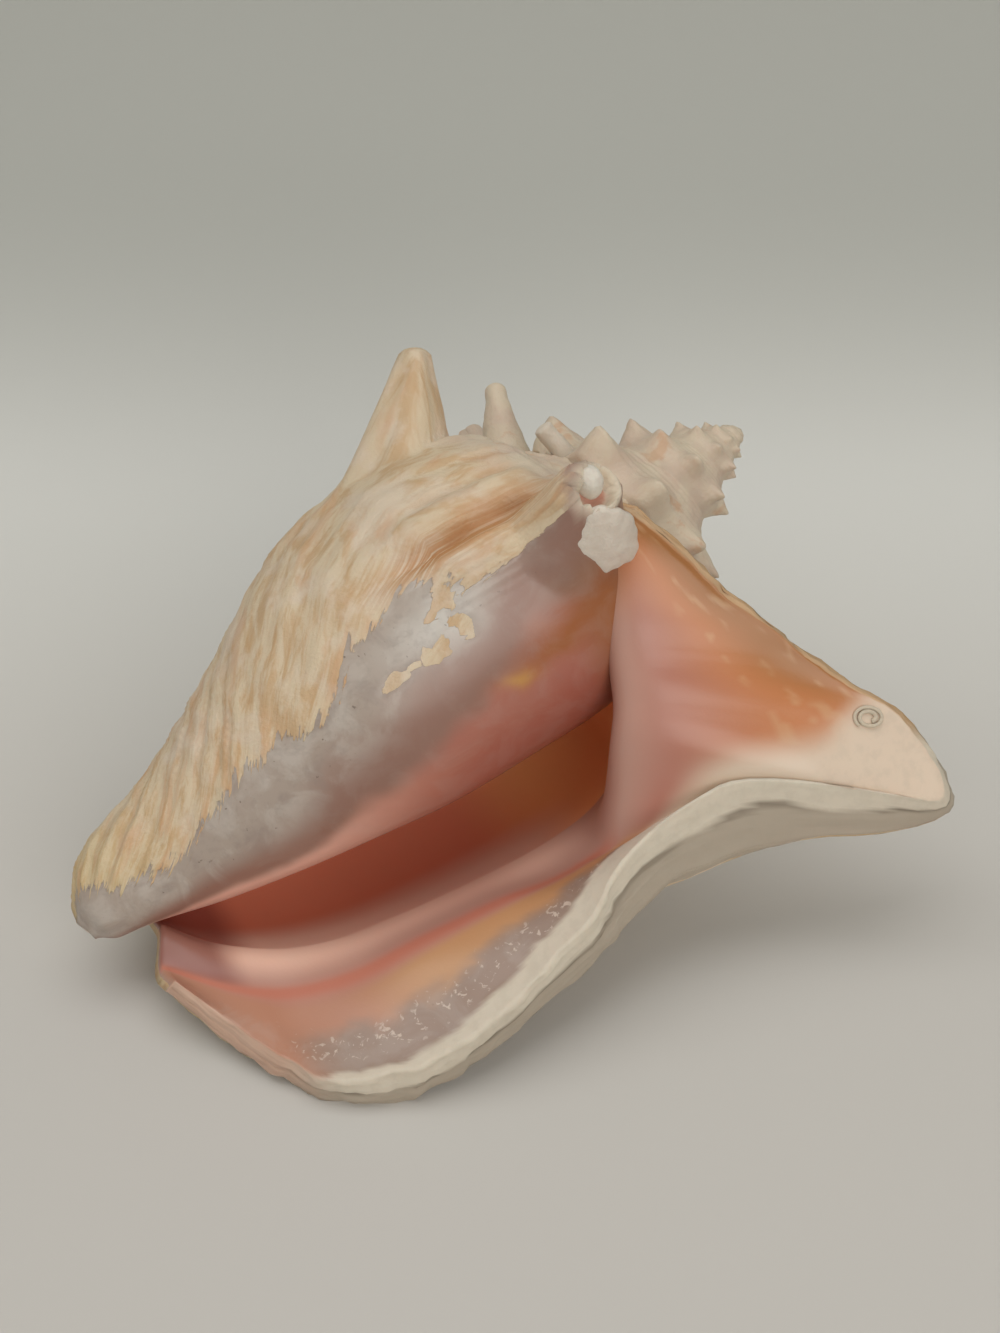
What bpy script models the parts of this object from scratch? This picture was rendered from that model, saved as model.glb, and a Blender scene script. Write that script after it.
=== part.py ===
"""Conch shell: one closed solid with its spire, spines, flared lip and open aperture.

The form is worked out in the shell's own frame: z runs up the coiling axis, from the
canal tip to the apex; x points to the lip and y to the back.  A whorl position w counts
whole turns back from the lip, so w = 0 is the lip side, 0.25 the back, 0.5 the left side
and 0.75 the side that the aperture opens on.  A row s runs from 0 at the suture to 1 at
the canal tip.  Depths are measured down from the apex, in millimetres.
"""
import math

import bmesh
import bpy
import numpy as np
from mathutils import Matrix, Vector

MM = 0.001

# Driving dimensions, in millimetres
AXIS_LENGTH = 215.0          # apex to canal tip
SHOULDER_DEPTH = 81.0        # shoulder below the apex at the lip
GROWTH = 1.6                 # each whorl is this many times the one before
WALL = 3.2                   # thickness of the body whorl's wall
CAVITY_TURNS = 0.45          # how far the hollow is followed in from the lip
SPIRE_START = .9375          # the spire's solid starts inside the body, in turns
SPIRE_END = 5.9375           # where the broken apex ends, in turns
EMBED = 1.2                  # overlap of solids that grow out of each other
BREAK = 2.4                  # how much of the apex has broken off
SEAM_ROW = .34               # row of the turn w = 1 that the lip's suture lies on
SPIRE_SLOPE = .582           # radius of the spire's shoulder for each mm of depth

# Profiles of the last whorl: depth and radius at the rows below, at six whorl positions
ROWS = np.array([0, .15, .3, .38, .46, .54, .62, .72, .82, .91, 1.0])
TURNS = np.array([0, .25, .5, .75, 1.0, 1.25, 1.5])
DEPTHS = np.array([
    [62, 70, 80, 95, 112, 132, 152, 170, 187, 203, 213],
    [55, 63, 73, 90, 108, 129, 149, 167, 185, 202, 213],
    [49, 57, 67, 85, 105, 127, 147, 165, 184, 201, 213],
    [43, 51, 60, 80, 102, 125, 146, 165, 184, 201, 213],
    [39, 45, 51, 74, 98, 121, 143, 163, 183, 200, 213],
    [34, 40, 46, 68, 93, 117, 140, 161, 182, 200, 213],
    [30, 35, 40, 63, 90, 115, 139, 161, 182, 200, 213]], float)
RADII = np.array([
    [35, 43, 54, 58, 57, 53, 48, 43, 36, 26, 15],
    [30, 39, 50, 55, 55, 51, 45, 37, 28, 19, 12],
    [26, 34, 45, 50, 49, 45, 36, 28, 20, 15, 8],
    [23, 30, 39, 43, 41, 38, 31, 24, 16, 11, 6],
    [20.5, 26, 32, 35, 33, 30, 25, 20, 15, 9, 5],
    [18, 23, 28, 31, 28, 24, 20, 16, 12, 8, 4.5],
    [16, 21, 25, 27, 24, 20, 16, 13, 10, 7, 4]], float)

# Crest of the lip's inner face and the edge of that face: row, x, y, depth
CREST = np.array([
    (0, -3, -36, 57), (.045, 7, -37, 59), (.09, 14, -36, 64), (.165, 24, -33, 71),
    (.255, 34, -30, 78), (.332, 44, -26, 86), (.364, 53, -22, 92), (.396, 60, -19, 98),
    (.452, 61, -17, 109), (.532, 56, -15, 129), (.596, 52, -13, 147), (.71, 48, -10, 168),
    (.82, 41, -7, 186), (.892, 34, -7, 196), (1, 17, -5, 208)], float)
MARGIN = np.array([
    (0, -4, -42, 50), (.03, 3, -42, 47), (.07, 21, -40, 42), (.13, 44, -37, 36),
    (.2, 67, -34, 31), (.245, 83, -33, 27), (.28, 93, -32, 27), (.32, 101, -31, 29),
    (.345, 91, -32, 40), (.375, 76, -34, 54), (.4, 67, -35, 66), (.43, 63, -35, 79),
    (.455, 62, -35, 90), (.48, 64, -35, 101), (.53, 70, -34, 115), (.59, 73, -33, 133),
    (.67, 74, -32, 155), (.75, 71, -30, 173), (.81, 64, -27, 186), (.87, 53, -22, 193),
    (.935, 37, -15, 200), (1, 19, -11, 205)], float)
# Edge of the lip's outer face, past the chalky rim: row, x, y, depth
OUTER_EDGE = np.array([
    (0, -4, -39, 48), (.03, 2, -40, 45), (.07, 21, -38, 40), (.13, 44, -35, 34),
    (.2, 67, -31, 29), (.245, 84, -29, 25), (.28, 96, -27, 24), (.32, 106, -24, 27),
    (.345, 99, -24, 42), (.375, 89, -24, 58), (.4, 83, -24, 68), (.43, 79, -24, 82),
    (.455, 77, -24, 94), (.48, 78, -24, 105), (.53, 81, -24, 119), (.59, 82, -23, 139),
    (.67, 82, -22, 160), (.75, 78, -21, 178), (.81, 69, -19, 190), (.87, 56, -16, 198),
    (.935, 40, -11, 204), (1, 20, -8, 209)], float)

# Big spines: turn, base depth, length, base radius, tip radius, lean to the apex
SPINES = [
    (.16, 78, 33, 15, 2.4, .45), (.26, 72, 28, 13, 2.2, .35), (.385, 66, 21, 10, 2.6, .45),
    (.52, 74, 28, 17, 4.0, .52), (.722, 65, 15, 17, 6.0, .42), (.86, 54, 10, 8, 1.5, .3)]
SPIRE_SPINES = [(1.452, 44, 26, 6.5, 2.0, .14)]
SPINE_FOOT = .45             # share of its base radius that a spine's foot is sunk by

# How the shell lies on a table, in its own frame: which way is down, and which way the
# open side faces away from; then how deep the points it rests on have worn flat
DOWN = Vector((.616, .695, -.371))
AWAY = Vector((.022, .99, .14))
WEAR = .8


def smooth(x):
    x = np.clip(x, 0, 1)
    return x * x * (3 - 2 * x)


def hermite(values, knots, at):
    """A smooth curve through values (last axis but one) at knots, read at one place each."""
    slope = np.diff(values, axis=-2) / np.diff(knots)[:, None]
    first, last = slope[..., :1, :], slope[..., -1:, :]
    gap = np.diff(knots)
    share = (gap[1:] / (gap[1:] + gap[:-1]))[:, None]
    inner = slope[..., :-1, :] * share + slope[..., 1:, :] * (1 - share)
    tangent = np.concatenate([first, inner, last], axis=-2)
    i = np.clip(np.searchsorted(knots, at, side="right") - 1, 0, len(knots) - 2)
    t = ((at - knots[i]) / gap[i])[:, None]
    h = gap[i][:, None]
    n = np.arange(len(at))
    if values.ndim == 2:
        a, b, ta, tb = values[i], values[i + 1], tangent[i], tangent[i + 1]
    else:
        a, b, ta, tb = values[n, i], values[n, i + 1], tangent[n, i], tangent[n, i + 1]
    return (a * (1 + 2 * t) * (1 - t) ** 2 + ta * h * t * (1 - t) ** 2
            + b * t * t * (3 - 2 * t) + tb * h * t * t * (t - 1))


def profile(turn, row):
    """Radius and depth of the last whorl's outside at each turn and row."""
    turn, row = np.broadcast_arrays(np.asarray(turn, float), np.asarray(row, float))
    flat = np.concatenate([RADII, DEPTHS], axis=1)
    at_turn = hermite(flat, TURNS, turn.ravel())
    pairs = np.stack([at_turn[:, :len(ROWS)], at_turn[:, len(ROWS):]], -1)
    both = hermite(pairs, ROWS, row.ravel())
    return both[:, 0].reshape(turn.shape), both[:, 1].reshape(turn.shape)


def place(turn, radius, depth):
    """Turn, radius and depth as a point of the shell's frame."""
    angle = 2 * math.pi * np.asarray(turn, float)
    return np.stack([radius * np.cos(angle), radius * np.sin(angle), -np.asarray(depth) + 0 * angle], -1)


def wall_inside(turn, row, thickness):
    """Radius and depth of the whorl's inside: the outside moved in along the profile's normal."""
    r, u = profile(turn, row)
    step = .01
    r0, u0 = profile(turn, np.clip(row - step, 0, 1))
    r1, u1 = profile(turn, np.clip(row + step, 0, 1))
    dr, du = r1 - r0, u1 - u0
    size = np.hypot(dr, du)
    return r - thickness * du / size, u + thickness * dr / size


def radius_at(turn, depth, thickness=0.0):
    """Radius of the outside, or of the inside at a wall thickness, at a given depth."""
    rows = np.linspace(0, 1, 161)
    out = np.empty(len(turn))
    for k, t in enumerate(turn):
        full = np.full_like(rows, t)
        r, u = wall_inside(full, rows, thickness) if thickness else profile(full, rows)
        u = np.maximum.accumulate(u)
        out[k] = np.interp(depth[k], u, r)
    return out


def grid_faces(columns, rows, start=0, closed=False):
    """Quads of a grid of columns by rows, whose vertices run row by row in each column."""
    faces = []
    for c in range(columns if closed else columns - 1):
        d = (c + 1) % columns
        for r in range(rows - 1):
            faces.append((start + c * rows + r, start + d * rows + r,
                          start + d * rows + r + 1, start + c * rows + r + 1))
    return faces


def solid(name, points, faces):
    """A mesh object from points in the shell's frame, with its faces turned outwards."""
    mesh = bpy.data.meshes.new(name)
    mesh.from_pydata([tuple(p) for p in np.asarray(points, float) * MM], [], faces)
    work = bmesh.new()
    work.from_mesh(mesh)
    bmesh.ops.remove_doubles(work, verts=work.verts, dist=0.00002)
    bmesh.ops.dissolve_degenerate(work, edges=work.edges, dist=0.00001)
    bmesh.ops.triangulate(work, faces=work.faces)
    bmesh.ops.recalc_face_normals(work, faces=work.faces)
    work.to_mesh(mesh)
    work.free()
    made = bpy.data.objects.new(name, mesh)
    bpy.context.collection.objects.link(made)
    return made


def body_solid():
    """The last whorl's outside as a closed solid, with a step where the lip begins."""
    columns, rows = 43, 24
    turns = np.linspace(0, 1, columns)
    hidden = 5
    points = []
    for t in turns:
        top = SEAM_ROW * min(t, 1)
        rows_here = np.concatenate([np.linspace(0, top, hidden)[:-1], np.linspace(top, 1, rows - hidden + 1)])
        full = np.full_like(rows_here, t)
        r, u = profile(full, rows_here)
        r[0] -= EMBED
        points += list(place(full, r, u))
    faces = grid_faces(columns, rows)
    last = (columns - 1) * rows
    for j in range(rows - 1):
        faces.append((j, j + 1, last + j + 1, last + j))
    top, bottom = len(points), len(points) + 1
    points += [np.array([0, 0, -52.0]), np.array([0, 0, -AXIS_LENGTH])]
    for c in range(columns):
        d = (c + 1) % columns
        faces.append((c * rows, d * rows, top))
        faces.append((c * rows + rows - 1, d * rows + rows - 1, bottom))
    return solid("body", points, faces)


def spire_profile(turn, row):
    """Radius and depth on the spire: suture, ramp, knobbed shoulder and down to the next suture."""
    scale = SHOULDER_DEPTH * GROWTH ** (-turn)
    knots = np.array([0, .3, .6, .8, 1.0])
    shape = np.array([(.395, .763), (.47, .87), (.58, .985), (.625, 1.08), (.632, 1.22)])
    both = hermite(shape, knots, row.ravel()).reshape(row.shape + (2,))
    r, u = both[..., 0] * scale, both[..., 1] * scale
    first = smooth((2.1 - turn) / .5)
    r_last, u_last = profile(np.clip(turn, 1, 1.5), row * SEAM_ROW)
    near = smooth((1.5 - turn) / .3)
    suture_r, suture_u = profile(np.clip(turn - 1, 0, 1.5), 0 * row)
    blend = smooth((row - .7) / .3) * (turn <= 2.2)
    r = r * (1 - near) + r_last * near
    u = u * (1 - near) + u_last * near
    r = r * (1 - blend * first) + suture_r * blend * first
    u = u * (1 - blend * first) + suture_u * blend * first
    spacing = 1 / 8
    knob = (np.cos(2 * math.pi * turn / spacing) * .5 + .5) * smooth((5.4 - turn) / .4)
    lift = .17 * knob ** 1.5 * np.exp(-((row - .62) / .2) ** 2)
    broken = BREAK * smooth((turn - 1.5) / 2)
    return r * (1 + lift), u - r * lift * .25 - broken


def spire_solid():
    """The spire: a strip from suture to suture that winds up to the broken apex."""
    per_turn, rows = 16, 6
    columns = int(round((SPIRE_END - SPIRE_START) * per_turn)) + 1
    turns = SPIRE_START + np.arange(columns) / per_turn
    row = np.linspace(0, 1, rows)
    turn_grid, row_grid = np.meshgrid(turns, row, indexing="ij")
    r, u = spire_profile(turn_grid, row_grid)
    r = r - EMBED * smooth((1 - turn_grid) / (1 - SPIRE_START))
    r[per_turn:, -1] = r[:-per_turn, 0]
    u[per_turn:, -1] = u[:-per_turn, 0]
    points = place(turn_grid, r, u)
    points = points.reshape(-1, 3)
    faces = grid_faces(columns, rows)
    points = list(points)
    skirt_start = len(points)
    for c in range(per_turn + 1):
        p = points[c * rows + rows - 1]
        points.append(np.array([p[0] * .75, p[1] * .75, p[2] - 8]))
    for c in range(per_turn):
        faces.append((c * rows + rows - 1, (c + 1) * rows + rows - 1, skirt_start + c + 1, skirt_start + c))
    cap = len(points)
    points.append(np.array([0, 0, -75.0]))
    for c in range(per_turn):
        faces.append((skirt_start + c, skirt_start + c + 1, cap))
    for j in range(rows - 1):
        faces.append((j, j + 1, cap))
    faces.append((0, per_turn * rows + rows - 1, skirt_start + per_turn, cap))
    faces.append((rows - 1, skirt_start, cap))
    apex = len(points)
    points.append(np.array([0, 0, -.6]))
    first = columns - 1 - per_turn
    for c in range(first, columns - 1):
        faces.append((c * rows, (c + 1) * rows, apex))
    end = (columns - 1) * rows
    for j in range(rows - 1):
        faces.append((end + j, end + j + 1, apex))
    return solid("spire", points, faces)


def rib_curves(ribs, counts):
    """One smooth curve for each row through its ribs, with a count of points in each gap."""
    step = np.linalg.norm(np.diff(ribs, axis=1), axis=2, keepdims=True)
    slope = np.diff(ribs, axis=1) / step
    share = step[:, 1:] / (step[:, 1:] + step[:, :-1])
    tangent = np.concatenate([slope[:, :1], slope[:, :-1] * share + slope[:, 1:] * (1 - share),
                              slope[:, -1:]], axis=1)
    parts = []
    for k, count in enumerate(counts):
        t = (np.arange(count) / count)[None, :, None]
        a, b, h = ribs[:, k:k + 1], ribs[:, k + 1:k + 2], step[:, k:k + 1]
        parts.append(a * (1 + 2 * t) * (1 - t) ** 2 + tangent[:, k:k + 1] * h * t * (1 - t) ** 2
                     + b * t * t * (3 - 2 * t) + tangent[:, k + 1:k + 2] * h * t * t * (t - 1))
    return np.concatenate(parts + [ribs[:, -1:]], axis=1)


def lip_faces(row, counts, root_turns):
    """Inner and outer face of the flared lip, one curve per row from the whorl to the edge."""
    ribs = []
    for turn in root_turns:
        full = np.full_like(row, turn)
        r, u = wall_inside(full, row, WALL)
        ribs.append(place(full, r, u))
    turned = np.array([1, 1, -1.0])
    crest = hermite(CREST[:, 1:], CREST[:, 0], row) * turned
    margin = hermite(MARGIN[:, 1:], MARGIN[:, 0], row) * turned
    ribs = np.stack(ribs + [crest, margin], axis=1)
    inner = rib_curves(ribs, counts)
    full = np.full_like(row, root_turns[-1])
    r, u = profile(full, row)
    at_root = place(full, r, u) - ribs[:, len(root_turns) - 1]
    outer_edge = hermite(OUTER_EDGE[:, 1:], OUTER_EDGE[:, 0], row) * turned
    at_edge = outer_edge - margin
    b = np.linspace(0, 1, inner.shape[1])[None, :, None]
    share = smooth((b - .15) / .85)
    thick = at_root[:, None] * (1 - share) + at_edge[:, None] * share
    return inner, inner + thick


def lip_solid():
    """The flared lip and its wing, a thick sheet rooted inside the whorl's wall."""
    row = np.array([0, .03, .06, .095, .13, .165, .2, .235, .27, .3, .325, .35, .38, .41, .45,
                    .5, .55, .61, .68, .75, .81, .87, .91, .94, .97, 1.0])
    inner, outer = lip_faces(row, (1, 1, 5, 6), (.10, .055, .01))
    columns = inner.shape[1]
    rooted = (np.arange(columns) < 3)[None, :, None]
    inner, outer = (np.where(rooted, inner * .85 + outer * .15, inner),
                    np.where(rooted, outer * .85 + inner * .15, outer))
    ring = np.concatenate([inner, outer[:, ::-1]], axis=1)
    around = ring.shape[1]
    points = list(ring.reshape(-1, 3))
    faces = []
    for j in range(len(row) - 1):
        for c in range(around):
            d = (c + 1) % around
            faces.append((j * around + c, j * around + d, (j + 1) * around + d, (j + 1) * around + c))
    for j in (0, len(row) - 1):
        for c in range(columns - 1):
            faces.append((j * around + c, j * around + c + 1,
                          j * around + around - 2 - c, j * around + around - 1 - c))
    return solid("lip", points, faces)


def hollow_cutter():
    """The aperture's hollow: crescents between the inner whorl and the wall, from lip to depth."""
    turns = np.concatenate([[-.09, -.045, -.012], np.linspace(.02, CAVITY_TURNS, 12)])
    levels = 15
    points = []
    for t in turns:
        inside = max(t, 0)
        r_top, u_top = wall_inside(np.array([inside]), np.array([.15]), WALL)
        depth = np.linspace(u_top[0], AXIS_LENGTH + 6, levels)
        full = np.full_like(depth, t)
        near = radius_at(full + 1, depth) + (.7 if t < 0 else 0)
        far = radius_at(np.full_like(depth, inside), depth, WALL)
        far = np.maximum(far, near + .6)
        points += list(place(full, near, depth)) + list(place(full, far, depth)[::-1])
    around = 2 * levels
    faces = []
    for k in range(len(turns) - 1):
        for c in range(around):
            d = (c + 1) % around
            faces.append((k * around + c, k * around + d, (k + 1) * around + d, (k + 1) * around + c))
    for k in (0, len(turns) - 1):
        for c in range(levels - 1):
            faces.append((k * around + c, k * around + c + 1,
                          k * around + around - 2 - c, k * around + around - 1 - c))
    cutter = solid("hollow", points, faces)
    cutter.hide_render = True
    cutter.display_type = "WIRE"
    return cutter


def spine_solid(name, spine, sides=10, rings=6):
    """A spine: a cone with a wide foot, a blunt tip and a lean towards the apex."""
    turn, depth, length, base, tip, lean = spine
    r = radius_at(np.array([turn]), np.array([depth]))[0] if turn < 1 else SPIRE_SLOPE * depth
    angle = 2 * math.pi * turn
    out = np.array([math.cos(angle), math.sin(angle), 0])
    side = np.array([-math.sin(angle), math.cos(angle), 0])
    axis = out + np.array([0, 0, lean])
    axis /= np.linalg.norm(axis)
    third = np.cross(axis, side)
    foot = out * (r - base * SPINE_FOOT) + np.array([0, 0, -depth])
    whole = length + base * SPINE_FOOT
    points = []
    for k in range(rings):
        f = k / (rings - 1)
        wide = tip + (base - tip) * (1 - f) ** 1.35
        for a in np.arange(sides) * 2 * math.pi / sides:
            points.append(foot + axis * whole * f + (side * math.cos(a) + third * math.sin(a)) * wide)
    faces = []
    for k in range(rings - 1):
        for a in range(sides):
            b = (a + 1) % sides
            faces.append((k * sides + a, k * sides + b, (k + 1) * sides + b, (k + 1) * sides + a))
    points += [foot, foot + axis * (whole + tip * .5)]
    low, high = rings * sides, rings * sides + 1
    for a in range(sides):
        b = (a + 1) % sides
        faces.append((a, b, low))
        faces.append(((rings - 1) * sides + a, (rings - 1) * sides + b, high))
    return solid(name, points, faces)


def combine(target, tool, operation, own=False):
    """One exact Boolean, kept as the target's mesh, after which the tool is removed."""
    step = target.modifiers.new(tool.name, "BOOLEAN")
    step.operation = operation
    step.solver = "EXACT"
    step.object = tool
    step.use_self = own
    graph = bpy.context.evaluated_depsgraph_get()
    result = bpy.data.meshes.new_from_object(target.evaluated_get(graph))
    target.modifiers.clear()
    target.data = result
    bpy.data.objects.remove(tool)


def lay_down(shell):
    """Turn the shell the way it lies, wear its resting points flat and centre it on the table."""
    up = -DOWN.normalized()
    away = (AWAY - up * AWAY.dot(up)).normalized()
    shell.data.transform(Matrix((away.cross(up), away, up)).to_4x4())
    low = min(v.co.z for v in shell.data.vertices) + WEAR * MM
    bpy.ops.mesh.primitive_cube_add(size=1, location=(0, 0, low - .5))
    plate = bpy.context.object
    plate.name = "worn"
    plate.hide_render = True
    plate.display_type = "WIRE"
    combine(shell, plate, "DIFFERENCE")
    points = np.array([v.co for v in shell.data.vertices])
    middle = (points.min(axis=0) + points.max(axis=0)) / 2
    shell.data.transform(Matrix.Translation((-middle[0], -middle[1], -points[:, 2].min())))


def shell_material():
    """Matt chalky lime, cream with a warm tint."""
    material = bpy.data.materials.new("shell_lime")
    material.use_nodes = True
    surface = material.node_tree.nodes["Principled BSDF"]
    surface.inputs["Base Color"].default_value = (.62, .50, .38, 1)
    surface.inputs["Roughness"].default_value = .55
    return material


def main():
    for old in list(bpy.data.objects):
        bpy.data.objects.remove(old)
    shell = body_solid()
    for k, spine in enumerate(SPINES):
        combine(shell, spine_solid(f"spine_{k}", spine), "UNION")
    combine(shell, hollow_cutter(), "DIFFERENCE")
    combine(shell, spire_solid(), "UNION")
    for k, spine in enumerate(SPIRE_SPINES):
        combine(shell, spine_solid(f"spire_spine_{k}", spine, 8), "UNION")
    combine(shell, lip_solid(), "UNION", own=True)
    lay_down(shell)
    shell.name = "shell"
    shell.data.materials.append(shell_material())
    for face in shell.data.polygons:
        face.use_smooth = True


main()
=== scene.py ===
"""A conch shell on a pale table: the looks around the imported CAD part.

The shell's fine surfaces are worked out in its own frame, in millimetres: z runs up the
coiling axis, x points to the lip and y to the back.  A turn w counts whorls back from the
lip and a row s runs from 0 at the suture to 1 at the canal tip, as in the part's source.
"""
import bmesh
import bpy
import math
import numpy as np
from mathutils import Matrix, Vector

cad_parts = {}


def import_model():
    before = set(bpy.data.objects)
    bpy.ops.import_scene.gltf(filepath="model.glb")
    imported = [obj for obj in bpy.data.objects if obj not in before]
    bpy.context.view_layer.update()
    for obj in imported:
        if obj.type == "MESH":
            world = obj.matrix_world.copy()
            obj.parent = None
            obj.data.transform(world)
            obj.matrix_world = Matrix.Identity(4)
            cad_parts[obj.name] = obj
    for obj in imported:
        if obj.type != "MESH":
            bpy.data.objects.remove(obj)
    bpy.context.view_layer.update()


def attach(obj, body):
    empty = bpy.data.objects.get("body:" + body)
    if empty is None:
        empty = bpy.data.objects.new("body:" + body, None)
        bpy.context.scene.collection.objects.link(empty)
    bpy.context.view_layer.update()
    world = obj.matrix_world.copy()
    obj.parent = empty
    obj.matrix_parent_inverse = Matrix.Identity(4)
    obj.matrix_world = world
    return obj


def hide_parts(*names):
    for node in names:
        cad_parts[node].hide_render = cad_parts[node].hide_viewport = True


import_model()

MM = .001
AXIS_LENGTH = 215.0
SHOULDER_DEPTH = 81.0
GROWTH = 1.6
WALL = 3.2
INSIDE_TURNS = .45
SEAM_ROW = .34
SPIRE_START = .9375
SPIRE_END = 5.9375
SPIRE_SLOPE = .582
EMBED = 1.2
BREAK = 2.4

ROWS = np.array([0, .15, .3, .38, .46, .54, .62, .72, .82, .91, 1.0])
TURNS = np.array([0, .25, .5, .75, 1.0, 1.25, 1.5])
DEPTHS = np.array([
    [62, 70, 80, 95, 112, 132, 152, 168, 182, 194, 201],
    [55, 63, 73, 90, 108, 129, 149, 165, 180, 193, 203],
    [49, 57, 67, 85, 105, 127, 147, 165, 184, 201.5, 213.5],
    [43, 51, 60, 80, 102, 125, 146, 165, 184, 201, 213],
    [39, 45, 51, 74, 98, 121, 143, 163, 183, 200, 213],
    [34, 40, 46, 68, 93, 117, 140, 161, 182, 200, 213],
    [30, 35, 40, 63, 90, 115, 139, 161, 182, 200, 213]], float)
RADII = np.array([
    [35, 43, 54, 58, 57, 53, 48, 43, 35, 23, 11],
    [30, 39, 50, 55, 55, 51, 45, 37, 28, 19, 10],
    [26, 34, 45, 50, 49, 45, 36, 28, 21.5, 18, 9],
    [23, 30, 39, 43, 41, 38, 31, 24, 16.5, 12, 7],
    [20.5, 26, 32, 35, 33, 30, 25, 20, 14, 7.5, 4.5],
    [18, 23, 28, 31, 28, 24, 20, 16, 12, 8, 4.5],
    [16, 21, 25, 27, 24, 20, 16, 13, 10, 7, 4]], float)
CREST = np.array([
    (0, -3, -36, 57), (.045, 7, -37, 59), (.09, 14, -36, 64), (.165, 24, -33, 71),
    (.255, 34, -30, 78), (.332, 44, -26, 86), (.364, 53, -22, 92), (.396, 60, -19, 98),
    (.452, 61, -17, 109), (.532, 56, -15, 129), (.596, 52, -13, 147), (.71, 48, -10, 168),
    (.82, 41, -7, 184), (.892, 34, -7, 192), (1, 18, -5, 204)], float)
MARGIN = np.array([
    (0, -4, -42, 51), (.03, 3, -42, 48.5), (.07, 20, -40, 44.3), (.13, 43, -36, 38),
    (.2, 66, -33, 29.8), (.245, 81, -32, 24.3), (.28, 93, -31, 23.6), (.305, 100, -31, 25.5),
    (.325, 102.5, -31, 29), (.345, 93, -32, 38), (.375, 77, -34, 53.5), (.4, 67, -35, 66),
    (.43, 64, -35, 76.5), (.455, 63, -35, 88.5), (.48, 64, -35, 101), (.53, 70, -34, 115),
    (.59, 73, -33, 133), (.67, 74, -32, 155), (.75, 71, -30, 173), (.81, 64, -27, 186),
    (.87, 54, -22, 192), (.935, 39, -15, 198), (1, 22, -11, 203)], float)
OUTER_EDGE = np.array([
    (0, -4, -39, 49), (.03, 2, -40, 46.5), (.07, 20, -38, 42.5), (.13, 43, -34, 36.5),
    (.2, 66, -30, 28), (.245, 81, -28, 22.3), (.28, 95, -26, 21.3), (.305, 104, -24, 23),
    (.325, 108, -23, 28), (.345, 103, -24, 41), (.375, 92, -24, 58), (.4, 85, -24, 70),
    (.43, 80, -24, 83), (.455, 77, -24, 94), (.48, 78, -24, 105), (.53, 81, -24, 119),
    (.59, 82, -23, 139), (.67, 82, -22, 160), (.75, 78, -21, 178), (.81, 69, -19, 190),
    (.87, 57, -16, 197), (.935, 42, -11, 202), (1, 23, -8, 207)], float)

# Big spines: turn, base depth, length, base radius, tip radius, lean to the apex, taper
SPINES = [
    (.16, 78, 33, 15, 2.4, .45, 1.35), (.26, 72, 28, 13, 2.2, .35, 1.35),
    (.385, 64, 21, 9, 2.6, .55, 1.1), (.505, 81, 26, 12.5, 4.6, .96, .85),
    (.722, 65, 16, 18, 6.8, .42, 1.2), (.86, 54, 10, 8, 1.5, .3, 1.35)]
# Spines of the whorl before, seen past the last one: foot, tip, foot radius, tip radius, pale
FREE_SPINES = [
    ((-27.0, 8.0, -57.5), (-50.2, 15.2, -42.7), 9.0, 2.4, 0), ((-17.0, -8.0, -44.6), (-31.8, -12.6, -46.2), 3.1, 2.5, 1),
    ((-34, 30, -55), (-46.5, 41.5, -49.8), 5.5, 2.9, 0)]
SPINE_FOOT = .45

# How the shell lies: down and the open side's far side in its own frame, and its place, mm
DOWN = np.array([.616, .695, -.371])
AWAY = np.array([.022, .99, .14])
PLACE = np.array([62.23, 58.36, 99.01])

TOP_ROWS = 26
ALL_ROWS = 150


def smooth(x):
    x = np.clip(x, 0, 1)
    return x * x * (3 - 2 * x)


def bell(x):
    return np.exp(-x * x)


def mix(a, b, share):
    return a + (b - a) * share


def length_of(v):
    return np.sqrt((v * v).sum(axis=-1))


def world(points):
    """Points of the shell's frame in millimetres, as it lies on the table, in metres."""
    up = -DOWN / np.linalg.norm(DOWN)
    away = AWAY - up * (AWAY @ up)
    away = away / np.linalg.norm(away)
    turned = np.stack([np.cross(away, up), away, up])
    return (points @ turned.T + PLACE) * MM


def hermite(values, knots, at):
    """A smooth curve through values (last axis but one) at knots, read at one place each."""
    slope = np.diff(values, axis=-2) / np.diff(knots)[:, None]
    gap = np.diff(knots)
    share = (gap[1:] / (gap[1:] + gap[:-1]))[:, None]
    inner = slope[..., :-1, :] * share + slope[..., 1:, :] * (1 - share)
    tangent = np.concatenate([slope[..., :1, :], inner, slope[..., -1:, :]], axis=-2)
    i = np.clip(np.searchsorted(knots, at, side="right") - 1, 0, len(knots) - 2)
    t = ((at - knots[i]) / gap[i])[:, None]
    h = gap[i][:, None]
    n = np.arange(len(at))
    if values.ndim == 2:
        a, b, ta, tb = values[i], values[i + 1], tangent[i], tangent[i + 1]
    else:
        a, b, ta, tb = values[n, i], values[n, i + 1], tangent[n, i], tangent[n, i + 1]
    return (a * (1 + 2 * t) * (1 - t) ** 2 + ta * h * t * (1 - t) ** 2
            + b * t * t * (3 - 2 * t) + tb * h * t * t * (t - 1))


def profile(turn, row):
    """Radius and depth of the last whorl's outside: smooth curves through the profile tables."""
    turn, row = np.broadcast_arrays(np.asarray(turn, float), np.asarray(row, float))
    at_turn = hermite(np.concatenate([RADII, DEPTHS], axis=1), TURNS, turn.ravel())
    pairs = np.stack([at_turn[:, :len(ROWS)], at_turn[:, len(ROWS):]], -1)
    both = hermite(pairs, ROWS, row.ravel())
    return both[:, 0].reshape(turn.shape), both[:, 1].reshape(turn.shape)


def place(turn, radius, depth):
    """Turn, radius and depth as a point of the shell's frame."""
    angle = 2 * math.pi * np.asarray(turn, float)
    return np.stack([radius * np.cos(angle), radius * np.sin(angle), -np.asarray(depth) + 0 * angle], -1)


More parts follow.
